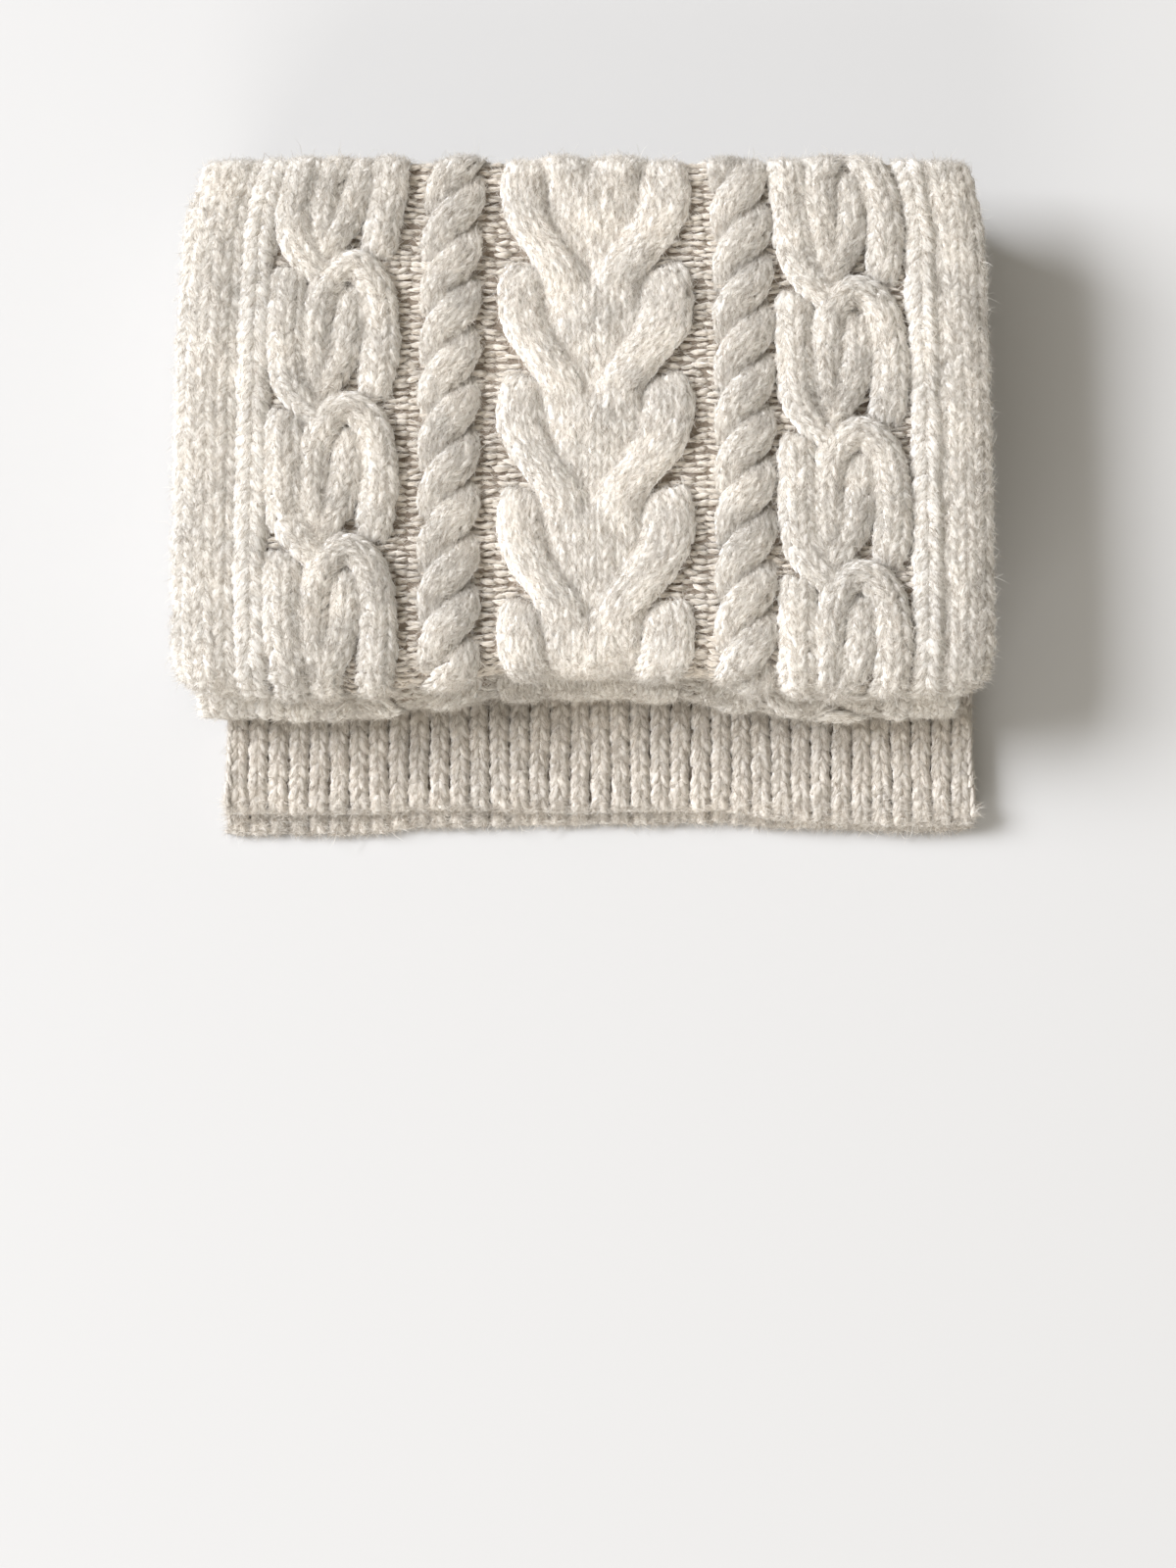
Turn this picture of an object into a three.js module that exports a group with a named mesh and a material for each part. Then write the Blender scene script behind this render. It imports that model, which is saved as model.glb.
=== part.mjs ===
// A chunky cable-knit wool scarf, folded in half across its length, right side out, and then
// five times back and forth, so that it lies as a flat stack with both ribbed ends at the front.
// Millimetres, +Z up, +X to the right, -Y to the front. The origin is under the middle of the stack.
//
// Five pieces stand for the stretches that a person sees:
//   top_panel       the top run, with the lip it folds over at the front and the fold at the back
//   second_fold     the lip of the next front fold down
//   rib_hem_upper   the 1 x 1 ribbed end that lies on top
//   rib_hem_lower   the other ribbed end, under it
//   hidden_layers   the runs between them, one rounded body whose edges show the layers

import * as THREE from "three";

// Sizes of the folded scarf
const TOP_HALF_WIDTH = 143; // the top run, from its middle line to the rolled selvedge
const FOLD_LEFT = -135.5; // the second fold's left end
const FOLD_RIGHT = 131.5; // and its right end
const HEM_LEFT = -127.5; // the ribbed ends draw in
const HEM_RIGHT = 139.5;
const BACK_EDGE = 116.0; // the ground of the top run reaches this far back
const TOP_FOLD_FRONT = -73.9; // the top fold's ground at the sides
const SECOND_FOLD_FRONT = -78.4; // the second fold's ground at the sides
const FOLD_BOW = 8.3; // how far the middle of both folds lies behind their sides
const BOW_HALF_WIDTH = 100; // the bow dies out this far from the middle line
const CORNER_BACK = 4.5; // the top fold's ends round back by this
const CORNER_WIDTH = 12; // over this width

// Thicknesses
const GROUND = 3.3; // the purl ground between the cables
const STRAND_LIFT = 2.7; // a cable's strands ride this high over the ground
const STRAND_DOME = 2.6; // and their round backs add this
const SEAM_GAP = 0.3; // pieces that touch are parted by this
const FOLD_RADIUS = 10; // the ground's outer radius round a doubled fold
const CLOSING_RADIUS = 5; // and round the scarf's middle fold, at the back of the top run
const TOP_FOLD_Z = 40.3; // height of the top fold's centre line
const SECOND_FOLD_Z = 20; // height of the second fold's centre line
const CLOSING_Z = TOP_FOLD_Z + FOLD_RADIUS - CLOSING_RADIUS;
const UNDER_RUN = 22; // how far a fold's wall runs back under or over its own layers
const CLOSING_RUN = 12; // the same at the back fold
const SELVEDGE_DROP = 2.4; // the top run's side edges roll down by this
const SELVEDGE_REACH = 13; // over this width

// The ribbed ends
const RIB_COUNT = 37;
const RIB_RISE = 2.2;
const HEM_HEIGHT = 4.6; // thickness of one ribbed end, ribs and all
const UPPER_HEM_Z = 4.9; // underside of the upper end
const HEM_BACK = -41; // both ends stop here, under the second fold
const HEM_EDGE_ROUND = 2.6; // length of the soft rounding at the cast-on edge

// Cable repeats along the scarf
const HORSESHOE_REPEAT = 40.6;
const CHAIN_REPEAT = 51.5;
const ROPE_REPEAT = 18.55;

// The pattern across the scarf. Centre and half are measured at the front of the top run. The start
// of a cable is where one of its repeats begins, measured along the run in the stack's own Y.
const COLUMNS = [
  { name: "left_selvedge", kind: "wale", centre: -139.9, half: 3.1, rise: 1.5 },
  { name: "left_band_outer", kind: "wale", centre: -133.2, half: 3.4, rise: 2.4 },
  { name: "left_band_inner", kind: "wale", centre: -126.1, half: 3.5, rise: 2.4 },
  { name: "left_rib", kind: "wale", centre: -117.1, half: 4.6, rise: 3.2 },
  { name: "left_chain", kind: "chain", centre: -87.7, half: 24.3, start: 30.2 },
  { name: "left_rope", kind: "rope", centre: -47.5, half: 11.3, start: 32.8 },
  { name: "horseshoe", kind: "horseshoe", centre: 2.0, half: 37.6, start: -4.4 },
  { name: "right_rope", kind: "rope", centre: 57.0, half: 11.3, start: 23.2 },
  { name: "right_chain", kind: "chain", centre: 93.2, half: 24.3, start: 21.0 },
  { name: "right_rib", kind: "wale", centre: 121.7, half: 4.0, rise: 3.2 },
  { name: "right_band_inner", kind: "wale", centre: 128.9, half: 2.9, rise: 2.3 },
  { name: "right_band_outer", kind: "wale", centre: 135.0, half: 2.9, rise: 2.3 },
  { name: "right_selvedge", kind: "wale", centre: 140.4, half: 2.3, rise: 1.5 },
];

// One half of the horseshoe: a strand comes out at the side, bulges, sweeps over to the middle,
// runs down beside its twin and dives under the next pair. Along runs to the front, reach is 0 at
// the middle pair's place and 1 at the outermost, lift is 1 on top and 0 where it goes under.
const HORSESHOE_INNER = { left: 8.0, right: 9.2 };
const HORSESHOE_REACH = { left: 24.2, right: 28.0 };
const HORSESHOE_WIDTH = { left: 0.89, right: 1.0 }; // the left half is knit a little narrower
const HORSESHOE_STRAND = [
  { along: 0.0, reach: 0.92, lift: -0.1, half: 7.2 },
  { along: 4.6, reach: 0.98, lift: 0.65, half: 8.4 },
  { along: 12.4, reach: 1.0, lift: 1.05, half: 9.0 },
  { along: 20.0, reach: 0.92, lift: 1.15, half: 8.8 },
  { along: 27.0, reach: 0.71, lift: 1.2, half: 8.3 },
  { along: 34.0, reach: 0.42, lift: 1.2, half: 8.0 },
  { along: 40.5, reach: 0.18, lift: 1.15, half: 8.2 },
  { along: 46.5, reach: 0.04, lift: 0.9, half: 8.8 },
  { along: 54.0, reach: 0.0, lift: 0.5, half: 9.3 },
  { along: 64.0, reach: 0.0, lift: 0.35, half: 9.4 },
  { along: 72.0, reach: 0.0, lift: 0.15, half: 9.0 },
  { along: 79.0, reach: 0.01, lift: -0.2, half: 8.4 },
  { along: 84.5, reach: 0.06, lift: -0.7, half: 8.0 },
];

// The two halves' middle runs lie side by side as one broad ridge, with no groove between them
const RIDGE_HALF = 16.0;
const RIDGE_RISE = 5.2;

// One strand of a rope: out at the right, over to the left, and under the next one
const ROPE_STRAND = [
  { along: -3.2, across: 4.8, lift: -0.3, half: 4.2 },
  { along: 0.6, across: 5.9, lift: 0.5, half: 4.9 },
  { along: 5.0, across: 5.4, lift: 1.05, half: 5.8 },
  { along: 9.5, across: 2.6, lift: 1.3, half: 6.6 },
  { along: 13.8, across: -1.4, lift: 1.2, half: 6.6 },
  { along: 18.5, across: -4.6, lift: 0.9, half: 5.8 },
  { along: 23.5, across: -6.1, lift: 0.5, half: 4.8 },
  { along: 28.5, across: -6.2, lift: 0.0, half: 4.3 },
  { along: 33.0, across: -5.6, lift: -0.5, half: 4.0 },
];

// The three strands of one link of a chain
const CHAIN_RING = [
  { along: 53.0, across: -2.4, lift: -0.2, half: 4.6 },
  { along: 48.8, across: -4.9, lift: 0.6, half: 4.8 },
  { along: 40.6, across: -6.9, lift: 0.9, half: 5.0 },
  { along: 26.5, across: -7.2, lift: 1.0, half: 5.2 },
  { along: 15.9, across: -5.8, lift: 1.05, half: 5.2 },
  { along: 8.2, across: -1.9, lift: 1.15, half: 5.2 },
  { along: 4.4, across: 3.4, lift: 1.2, half: 5.2 },
  { along: 6.6, across: 9.2, lift: 1.2, half: 5.4 },
  { along: 14.2, across: 13.9, lift: 1.1, half: 5.8 },
  { along: 26.5, across: 15.6, lift: 1.0, half: 6.1 },
  { along: 38.9, across: 15.4, lift: 1.0, half: 6.1 },
  { along: 47.0, across: 14.4, lift: 0.7, half: 5.8 },
  { along: 52.5, across: 13.2, lift: -0.1, half: 5.0 },
];
const CHAIN_INNER = [
  { along: 12.6, across: 5.2, lift: 0.0, half: 4.6 },
  { along: 18.0, across: 4.7, lift: 0.7, half: 5.2 },
  { along: 29.0, across: 4.0, lift: 0.9, half: 5.4 },
  { along: 38.9, across: 1.8, lift: 1.0, half: 5.2 },
  { along: 46.0, across: -2.4, lift: 1.05, half: 5.0 },
  { along: 51.6, across: -5.6, lift: 0.7, half: 4.6 },
  { along: 55.2, across: -7.8, lift: -0.1, half: 4.2 },
];
const CHAIN_OUTER = [
  { along: 5.6, across: -17.4, lift: 0.0, half: 5.2 },
  { along: 10.6, across: -17.9, lift: 0.8, half: 6.0 },
  { along: 28.3, across: -18.0, lift: 1.0, half: 6.2 },
  { along: 42.4, across: -17.0, lift: 1.0, half: 6.0 },
  { along: 49.5, across: -14.2, lift: 1.0, half: 5.6 },
  { along: 54.8, across: -9.8, lift: 0.9, half: 5.2 },
  { along: 58.7, across: -5.0, lift: 0.5, half: 4.8 },
  { along: 60.8, across: -2.0, lift: -0.1, half: 4.4 },
];

// The top run's side edges, as shares of its half-width, from the front lip to the back fold
const SIDE_EDGES = [
  { along: -80, left: 0.985, right: 0.985 },
  { along: -62, left: 0.996, right: 0.997 },
  { along: -40, left: 1.0, right: 1.0 },
  { along: 24, left: 1.0, right: 1.0 },
  { along: 56, left: 0.996, right: 0.994 },
  { along: 88, left: 0.985, right: 0.988 },
  { along: 99, left: 0.974, right: 0.978 },
  { along: 109, left: 0.948, right: 0.962 },
  { along: 130, left: 0.9, right: 0.93 },
];

// The cast-on edges of the two ribbed ends
const CAST_ON_EDGES = [
  { across: HEM_LEFT, upper: -111.6, lower: -118.1 },
  { across: -76, upper: -111.9, lower: -118.3 },
  { across: -60, upper: -110.0, lower: -115.6 },
  { across: -4, upper: -111.2, lower: -114.6 },
  { across: 50, upper: -110.2, lower: -113.8 },
  { across: 68, upper: -113.8, lower: -115.6 },
  { across: 118, upper: -116.0, lower: -117.0 },
  { across: HEM_RIGHT, upper: -115.2, lower: -116.4 },
];

// The runs that don't show, from the floor up: the layers of each stand this far out
const HIDDEN_RUNS = [
  { bottom: 0, top: 10, left: -129, right: 138, backFold: 10 },
  { bottom: 10, top: 20, left: -134, right: 132, backFold: 10 },
  { bottom: 20, top: 30, left: -134.5, right: 131, backFold: 30 },
  { bottom: 30, top: 40, left: -139, right: 138.5, backFold: 30 },
  { bottom: 40, top: 50, left: -139.5, right: 139, backFold: 45 },
];
const HIDDEN_BACK = 103.5; // centre lines of the two back folds
const HIDDEN_CORNER = 9; // radius of the corners, seen from above
const LAYER = 5; // one layer of cloth
const LAYER_GROOVE = 1.9; // depth of the groove between two layers
const EDGE_STEPS_UP = 3; // levels in each layer

// Steps of the meshes
const CABLE_STEP = { chain: 3, rope: 3.8, horseshoe: 4.7 };
const RUN_STEP = 4.4;
const ARC_STEPS = 8;
const CLOSING_STEPS = 4;

const lerp = (from, to, share) => from + (to - from) * share;
const clamp = (value, low, high) => Math.min(high, Math.max(low, value));
const smooth = (low, high, value) => {
  const share = clamp((value - low) / (high - low), 0, 1);
  return share * share * (3 - 2 * share);
};

// A value read from a table whose rows stand in rising order of one column
function readTable(table, key, at, wanted) {
  const next = table.findIndex((row) => row[key] >= at);
  if (next <= 0) return next === 0 ? table[0][wanted] : table[table.length - 1][wanted];
  const [low, high] = [table[next - 1], table[next]];
  return lerp(low[wanted], high[wanted], (at - low[key]) / (high[key] - low[key]));
}

// A strand's own points, close enough together to measure distances from
function strandPoints(rows) {
  const points = [];
  const steps = 5;
  for (let row = 0; row < rows.length - 1; row += 1) {
    for (let step = 0; step < steps; step += 1) {
      const point = {};
      for (const key of ["along", "across", "lift", "half"]) {
        point[key] = lerp(rows[row][key], rows[row + 1][key], step / steps);
      }
      points.push(point);
    }
  }
  points.push(rows[rows.length - 1]);
  return points;
}

function horseshoeHalf(side) {
  const sign = side === "left" ? -1 : 1;
  const place = (row) => sign * lerp(HORSESHOE_INNER[side], HORSESHOE_REACH[side], row.reach);
  const width = HORSESHOE_WIDTH[side];
  return strandPoints(
    HORSESHOE_STRAND.map((row) => ({ ...row, across: place(row), half: row.half * width })));
}

const CABLES = {
  horseshoe: { repeat: HORSESHOE_REPEAT, strands: [horseshoeHalf("left"), horseshoeHalf("right")] },
  rope: { repeat: ROPE_REPEAT, strands: [strandPoints(ROPE_STRAND)] },
  chain: {
    repeat: CHAIN_REPEAT,
    strands: [CHAIN_RING, CHAIN_INNER, CHAIN_OUTER].map(strandPoints),
  },
};

// Height of a cable over the ground, from the strand that lies highest there
function cableHeight(column, across, along) {
  const { repeat, strands } = CABLES[column.kind];
  const fromMiddle = (across - column.centre) / RIDGE_HALF;
  const ridged = column.kind === "horseshoe" && Math.abs(fromMiddle) < 1;
  let height = ridged ? RIDGE_RISE * Math.sqrt(1 - fromMiddle ** 2) : 0;
  for (const strand of strands) {
    for (const point of strand) {
      const side = Math.abs(across - column.centre - point.across);
      if (side >= point.half) continue;
      const ahead = column.start - along - point.along;
      const away = ahead - repeat * Math.round(ahead / repeat);
      const share = (side * side + away * away) / (point.half * point.half);
      if (share >= 1) continue;
      const back = STRAND_LIFT * point.lift + STRAND_DOME;
      height = Math.max(height, back * Math.sqrt(1 - share));
    }
  }
  return height;
}

function waleHeight(column, across) {
  const share = (across - column.centre) / column.half;
  return Math.abs(share) < 1 ? column.rise * (1 - share * share) : 0;
}

// Relief of the pattern at a place on the cloth
function relief(across, along) {
  const column = COLUMNS.find((one) => Math.abs(across - one.centre) <= one.half);
  if (!column) return 0;
  return column.kind === "wale" ? waleHeight(column, across) : cableHeight(column, across, along);
}

// Places across the cloth where its outer points stand
function acrossStations() {
  const stations = [-TOP_HALF_WIDTH];
  for (const { kind, centre, half } of COLUMNS) {
    const steps = kind === "wale" ? 2 : Math.round((2 * half) / CABLE_STEP[kind]);
    for (let step = 0; step <= steps; step += 1) {
      const place = centre - half + (2 * half * step) / steps;
      if (place > stations[stations.length - 1] + 0.5) stations.push(place);
    }
  }
  stations[stations.length - 1] = TOP_HALF_WIDTH;
  return stations;
}

const foldBow = (across) => {
  const share = clamp(Math.abs(across) / BOW_HALF_WIDTH, 0, 1);
  return FOLD_BOW * (0.5 + 0.5 * Math.cos(Math.PI * share));
};

const foldCorner = (across) =>
  CORNER_BACK * clamp((Math.abs(across) - TOP_HALF_WIDTH + CORNER_WIDTH) / CORNER_WIDTH, 0, 1) ** 2;

// Closed body from an outer and an inner grid of points. Both run the same way, and their
// shares say how far along each row and column stands, so that the four edges are joined.
function wallMesh(outer, inner) {
  const positions = [];
  const triangles = [];
  const number = (grid) => grid.points.map((row) => row.map((point) => positions.push(...point) / 3 - 1));
  const outerIds = number(outer);
  const innerIds = number(inner);
  const face = (a, b, c) => triangles.push(a, b, c);
  const surface = (ids, outward) => {
    for (let row = 0; row < ids.length - 1; row += 1) {
      for (let column = 0; column < ids[0].length - 1; column += 1) {
        const [a, b] = [ids[row][column], ids[row][column + 1]];
        const [d, c] = [ids[row + 1][column], ids[row + 1][column + 1]];
        if (outward) {
          face(a, b, c);
          face(a, c, d);
        } else {
          face(a, c, b);
          face(a, d, c);
        }
      }
    }
  };
  surface(outerIds, true);
  surface(innerIds, false);
  const join = (outerLine, outerShares, innerLine, innerShares) => {
    let [at, on] = [0, 0];
    while (at < outerLine.length - 1 || on < innerLine.length - 1) {
      const outerNext = at < outerLine.length - 1 ? outerShares[at + 1] : Infinity;
      const innerNext = on < innerLine.length - 1 ? innerShares[on + 1] : Infinity;
      if (outerNext <= innerNext) {
        face(outerLine[at + 1], outerLine[at], innerLine[on]);
        at += 1;
      } else {
        face(innerLine[on], innerLine[on + 1], outerLine[at]);
        on += 1;
      }
    }
  };
  const column = (ids, index) => ids.map((row) => row[index]);
  const turned = (line) => [...line].reverse();
  const mirrored = (shares) => turned(shares).map((share) => 1 - share);
  const lastRow = (ids) => ids[ids.length - 1];
  join(outerIds[0], outer.across, innerIds[0], inner.across);
  join(column(outerIds, outerIds[0].length - 1), outer.along,
    column(innerIds, innerIds[0].length - 1), inner.along);
  join(turned(lastRow(outerIds)), mirrored(outer.across),
    turned(lastRow(innerIds)), mirrored(inner.across));
  join(turned(column(outerIds, 0)), mirrored(outer.along),
    turned(column(innerIds, 0)), mirrored(inner.along));
  return bodyGeometry(positions, triangles);
}

function bodyGeometry(positions, triangles) {
  const geometry = new THREE.BufferGeometry();
  geometry.setAttribute("position", new THREE.Float32BufferAttribute(positions, 3));
  geometry.setIndex(triangles);
  geometry.computeVertexNormals();
  return geometry;
}

function grid(acrossList, alongList, point) {
  const shares = (list) => list.map((at) => (at - list[0]) / (list[list.length - 1] - list[0]));
  return {
    across: shares(acrossList),
    along: shares(alongList),
    points: alongList.map((along) => acrossList.map((across) => point(across, along))),
  };
}

const steps = (from, to, count) =>
  Array.from({ length: count + 1 }, (_, index) => lerp(from, to, index / count));

// A fold's cloth seen from the side. The route runs from 0 at its end under the fold, round the
// front (1 to 2), back over the top (2 to 3), round the back fold (3 to 4) and in again (4 to 5).
// It gives the inner face, the way out of it, the place along the cloth and how full its relief is.
function foldSection(route, frontCentre, heights) {
  const { centreZ, backCentre, closingZ } = heights;
  const innerRadius = FOLD_RADIUS - GROUND;
  const closingInner = CLOSING_RADIUS - GROUND;
  const reliefRadius = FOLD_RADIUS + 1;
  if (route <= 1) {
    const back = UNDER_RUN * (1 - route);
    const along = frontCentre - Math.PI * reliefRadius - back;
    return { y: frontCentre + back, z: centreZ - innerRadius, out: [0, -1], along, full: 0, top: 0 };
  }
  if (route <= 2) {
    const turn = Math.PI * (2 - route);
    const out = [-Math.sin(turn), Math.cos(turn)];
    return {
      y: frontCentre + innerRadius * out[0],
      z: centreZ + innerRadius * out[1],
      out,
      along: frontCentre - reliefRadius * turn,
      full: 1 - smooth(0.5 * Math.PI, 0.88 * Math.PI, turn),
      top: 1 - smooth(0, 0.9 * Math.PI, turn),
    };
  }
  if (route <= 3) {
    const y = lerp(frontCentre, backCentre, route - 2);
    return { y, z: centreZ + innerRadius, out: [0, 1], along: y, full: 1, top: 1 };
  }
  if (route <= 4) {
    const turn = Math.PI * (route - 3);
    const out = [Math.sin(turn), Math.cos(turn)];
    return {
      y: backCentre + closingInner * out[0],
      z: closingZ + closingInner * out[1],
      out,
      along: backCentre + CLOSING_RADIUS * turn,
      full: 1 - smooth(0.35 * Math.PI, 0.8 * Math.PI, turn),
      top: 1 - smooth(0, 0.8 * Math.PI, turn),
    };
  }
  const y = backCentre - CLOSING_RUN * (route - 4);
  const along = backCentre + CLOSING_RADIUS * Math.PI + CLOSING_RUN * (route - 4);
  return { y, z: closingZ - closingInner, out: [0, -1], along, full: 0, top: 0 };
}

// The top run: the pattern's columns, drawn in a little towards the back, with rolled side edges
function topPoint(across, route, onOutside) {
  const heights = {
    centreZ: TOP_FOLD_Z,
    backCentre: BACK_EDGE - CLOSING_RADIUS,
    closingZ: CLOSING_Z,
  };
  const frontCentre = TOP_FOLD_FRONT + FOLD_RADIUS + foldBow(across) + foldCorner(across);
  const section = foldSection(route, frontCentre, heights);
  const side = across < 0 ? "left" : "right";
  const share = readTable(SIDE_EDGES, "along", section.along, side);
  const fromEdge = clamp((TOP_HALF_WIDTH - Math.abs(across)) / SELVEDGE_REACH, 0, 1);
  const drop = SELVEDGE_DROP * (1 - fromEdge) ** 2 * section.top;
  const rise = onOutside ? GROUND + section.full * relief(across, section.along) : 0;
  return [
    across * share,
    section.y + section.out[0] * rise,
    section.z + section.out[1] * rise - drop,
  ];
}

function topPanel() {
  const runLength = BACK_EDGE - CLOSING_RADIUS - TOP_FOLD_FRONT - FOLD_RADIUS;
  const runSteps = Math.round(runLength / RUN_STEP);
  const outerRoute = [0, ...steps(1, 2, ARC_STEPS), ...steps(2, 3, runSteps).slice(1),
    ...steps(3, 4, CLOSING_STEPS).slice(1), 5];
  const innerRoute = [0, ...steps(1, 2, 6), 3, ...steps(3, 4, CLOSING_STEPS).slice(1), 5];
  const edge = [TOP_HALF_WIDTH, TOP_HALF_WIDTH - 5, TOP_HALF_WIDTH - SELVEDGE_REACH, BOW_HALF_WIDTH];
  const innerAcross = [...edge.map((place) => -place), -66, -33, 0, 33, 66, ...[...edge].reverse()];
  return wallMesh(
    grid(acrossStations(), outerRoute, (across, route) => topPoint(across, route, true)),
    grid(innerAcross, innerRoute, (across, route) => topPoint(across, route, false)),
  );
}

// The second fold: the same cloth further on, so the same columns at its own width
const CLOTH_SHIFT = 33; // how far along the pattern this stretch begins
function secondPoint(across, route, onOutside) {
  const centre = (FOLD_LEFT + FOLD_RIGHT) / 2;
  const half = (FOLD_RIGHT - FOLD_LEFT) / 2;
  const place = centre + (across * half) / TOP_HALF_WIDTH;
  const frontCentre = SECOND_FOLD_FRONT + FOLD_RADIUS + foldBow(place);
  const heights = {
    centreZ: SECOND_FOLD_Z,
    backCentre: frontCentre + UNDER_RUN,
    closingZ: SECOND_FOLD_Z,
  };
  const section = foldSection(route, frontCentre, heights);
  const upper = section.out[1] > 0 ? 1 - smooth(0.35, 0.95, section.out[1]) : 1;
  const height = section.full * upper * relief(across, section.along + CLOTH_SHIFT);
  const rise = onOutside ? GROUND + height : 0;
  return [place, section.y + section.out[0] * rise, section.z + section.out[1] * rise];
}

function secondFold() {
  const innerAcross = steps(-TOP_HALF_WIDTH, TOP_HALF_WIDTH, 10);
  return wallMesh(
    grid(acrossStations(), [0, ...steps(1, 2, ARC_STEPS), 3], (across, route) =>
      secondPoint(across, route, true)),
    grid(innerAcross, [0, ...steps(1, 2, 6), 3], (across, route) => secondPoint(across, route, false)),
  );
}

// A ribbed end: knit ribs that stand up from a thinner ground, with a soft cast-on edge
function ribbedEnd(edgeName, underside, samplesPerRib) {
  const outerAcross = steps(0, RIB_COUNT, RIB_COUNT * samplesPerRib);
  const edgeAt = (across) => readTable(CAST_ON_EDGES, "across", across, edgeName);
  const placeOf = (ribs) => lerp(HEM_LEFT, HEM_RIGHT, ribs / RIB_COUNT);
  const ridge = (ribs) => RIB_RISE * Math.sin(Math.PI * (ribs % 1)) ** 2;
  const outerPoint = (ribs, depth) => {
    const across = placeOf(ribs);
    const front = edgeAt(across);
    const rounding = depth < HEM_EDGE_ROUND ? 0.35 + (0.65 * depth) / HEM_EDGE_ROUND : 1;
    const top = (HEM_HEIGHT - RIB_RISE + ridge(ribs)) * rounding;
    const y = depth > HEM_EDGE_ROUND ? HEM_BACK : front + depth;
    return [across, y, underside + top];
  };
  const innerAcross = CAST_ON_EDGES.map((row) => row.across);
  const innerRibs = innerAcross.map(
    (across) => (RIB_COUNT * (across - HEM_LEFT)) / (HEM_RIGHT - HEM_LEFT));
  const innerPoint = (ribs, share) => {
    const across = placeOf(ribs);
    return [across, lerp(edgeAt(across), HEM_BACK, share), underside];
  };
  return wallMesh(
    grid(outerAcross, [0, HEM_EDGE_ROUND, 2 * HEM_EDGE_ROUND], outerPoint),
    grid(innerRibs, [0, 1], innerPoint),
  );
}

// One level of the hidden runs, seen from above: a rectangle with round corners and a bowed front
function hiddenRing({ left, right, front, back, bowed, height }) {
  const ring = [];
  const quarter = 3;
  const corner = (x, y, start) => {
    for (let step = 0; step <= quarter; step += 1) {
      const angle = start + (Math.PI / 2) * (step / quarter);
      ring.push([x + HIDDEN_CORNER * Math.cos(angle), y + HIDDEN_CORNER * Math.sin(angle), height]);
    }
  };
  corner(left + HIDDEN_CORNER, front + HIDDEN_CORNER, Math.PI);
  for (const across of [-90, -60, -30, 0, 30, 60, 90]) {
    ring.push([across, front + (bowed ? foldBow(across) : 0), height]);
  }
  corner(right - HIDDEN_CORNER, front + HIDDEN_CORNER, 1.5 * Math.PI);
  corner(right - HIDDEN_CORNER, back - HIDDEN_CORNER, 0);
  corner(left + HIDDEN_CORNER, back - HIDDEN_CORNER, 0.5 * Math.PI);
  return ring;
}

const TONGUE_RADIUS = FOLD_RADIUS - GROUND - SEAM_GAP;
const BOW_SLACK = 0.5; // the bow's straight steps differ by this between the pieces
const TOP_INSIDE = TOP_FOLD_Z + TONGUE_RADIUS;
const TOP_TAPER = 5; // the layers draw in by this under the top run, which narrows to the back

// Where the hidden runs begin at the front, at one height
function hiddenFront(height) {
  const inside = (centreZ, foldFront) => {
    const off = height - centreZ;
    if (Math.abs(off) > TONGUE_RADIUS + 0.01) return null;
    const depth = Math.sqrt(Math.max(0, TONGUE_RADIUS ** 2 - off ** 2));
    return { front: foldFront + FOLD_RADIUS + BOW_SLACK - depth, bowed: true };
  };
  const plain = (front) => ({ front, bowed: false });
  const behindLegs = TOP_FOLD_FRONT + FOLD_RADIUS + FOLD_BOW + UNDER_RUN + SEAM_GAP;
  const hemTop = UPPER_HEM_Z + HEM_HEIGHT + 0.15;
  if (height <= hemTop) return plain(HEM_BACK + SEAM_GAP);
  return inside(SECOND_FOLD_Z, SECOND_FOLD_FRONT) ?? inside(TOP_FOLD_Z, TOP_FOLD_FRONT)
    ?? plain(behindLegs);
}

// How far back they reach: two round folds, and the tongue inside the top run's back fold
function hiddenBack(height, run) {
  if (height > CLOSING_Z - CLOSING_RADIUS - SEAM_GAP + 0.01) {
    const closed = CLOSING_Z - (CLOSING_RADIUS - GROUND - SEAM_GAP);
    return height < closed
      ? BACK_EDGE - CLOSING_RADIUS - CLOSING_RUN - SEAM_GAP
      : BACK_EDGE - CLOSING_RADIUS - SEAM_GAP;
  }
  const off = (height - run.backFold) / FOLD_RADIUS;
  return HIDDEN_BACK + FOLD_RADIUS * Math.sqrt(Math.max(0, 1 - off * off));
}

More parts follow.
